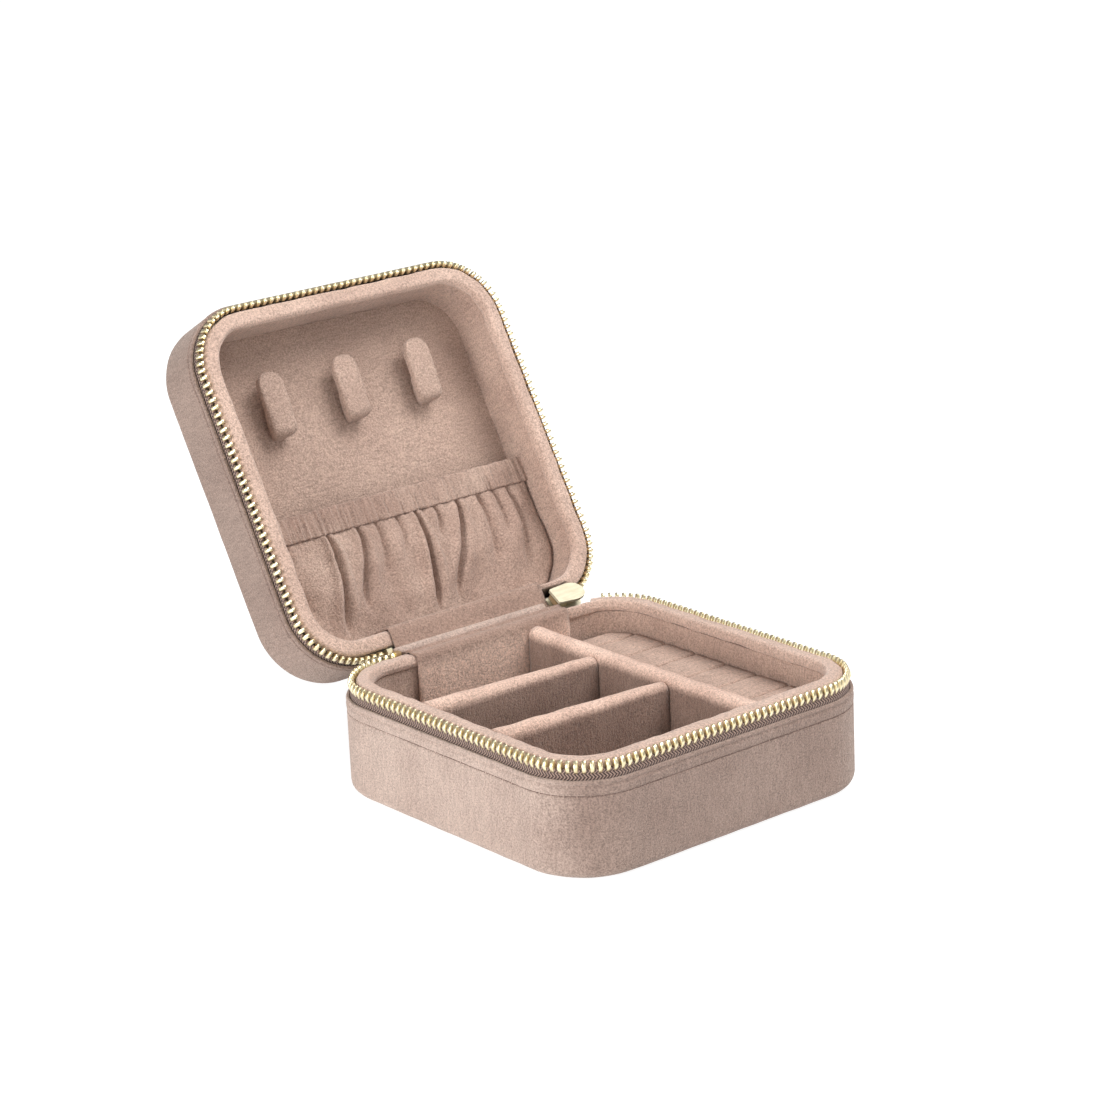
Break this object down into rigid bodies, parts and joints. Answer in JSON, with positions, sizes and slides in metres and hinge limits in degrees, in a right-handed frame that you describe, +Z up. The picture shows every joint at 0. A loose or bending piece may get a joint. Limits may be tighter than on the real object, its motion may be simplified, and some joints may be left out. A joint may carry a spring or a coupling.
{
  "type": "jewelry_case",
  "caption": "Small square zip-around velvet travel jewelry case, open: three compartments, ring rolls, necklace hooks and an elastic pocket in the lid.",
  "frame": {"origin": "Middle of the flat underside of the base, where the case stands on a surface.", "axes": "X runs along the hinge, -Y is the front of the case, +Y the hinge side, Z is up."},
  "size_m": [0.1, 0.1667, 0.1137],
  "materials": {
    "outer_velvet": "matte short-pile dusty pink velvet",
    "lining_velvet": "matte short-pile dusty pink velvet lining",
    "panel_velvet": "matte velvet over a thin padded panel",
    "pocket_velvet": "thin gathered velvet",
    "elastic": "woven elastic strip",
    "foam": "open-cell foam block",
    "board": "moulded paper board",
    "zip_tape": "woven herringbone zip tape",
    "zip_metal": "pale gold plated zip metal"
  },
  "bodies": {
    "base": {"base_cover": "outer_velvet", "base_board": "board", "base_wall_liner": "lining_velvet", "base_rim": "outer_velvet", "zip_tape_base": "zip_tape", "zip_teeth_base": "zip_metal", "zip_top_stop_base": "zip_metal", "hinge_flap_base": "lining_velvet", "hinge_spine_base": "outer_velvet", "base_floor_pad": "lining_velvet", "long_divider": "lining_velvet", "short_divider_rear": "lining_velvet", "short_divider_front": "lining_velvet", "ring_foam": "foam", "ring_roll_1": "lining_velvet", "ring_roll_2": "lining_velvet", "ring_roll_3": "lining_velvet", "ring_roll_4": "lining_velvet", "ring_roll_5": "lining_velvet", "ring_roll_6": "lining_velvet", "ring_roll_7": "lining_velvet", "ring_roll_8": "lining_velvet"},
    "lid": {"lid_cover": "outer_velvet", "lid_board": "board", "lid_wall_liner": "lining_velvet", "lid_rim": "outer_velvet", "zip_tape_lid": "zip_tape", "zip_teeth_lid": "zip_metal", "zip_top_stop_lid": "zip_metal", "hinge_flap_lid": "lining_velvet", "hinge_spine_lid": "outer_velvet", "lid_panel": "panel_velvet", "pocket_pouch": "pocket_velvet", "pocket_band": "pocket_velvet", "pocket_elastic": "elastic", "necklace_hook_left": "panel_velvet", "necklace_hook_middle": "panel_velvet", "necklace_hook_right": "panel_velvet"},
    "slider": {"zip_slider": "zip_metal", "zip_bottom_stop": "zip_metal"},
    "pull": {"zip_pull": "zip_metal"}
  },
  "joints": [
    {"name": "lid_hinge", "type": "hinge", "parent": "base", "child": "lid", "pos_m": [0, 0.0496, 0.0288], "axis": [-1, 0, 0], "range_deg": [-120, 10]},
    {"name": "slider_tilt", "type": "hinge", "parent": "base", "child": "slider", "pos_m": [0.031, 0.0496, 0.0288], "axis": [-1, 0, 0], "range_deg": [-60, 5]},
    {"name": "pull_swing", "type": "hinge", "parent": "slider", "child": "pull", "pos_m": [0.031, 0.05081, 0.0273], "axis": [0, -0.866, -0.5], "range_deg": [-45, 75]}
  ],
  "couplings": [
    {"joint": "slider_tilt", "follows": "lid_hinge", "ratio": 0.5}
  ]
}
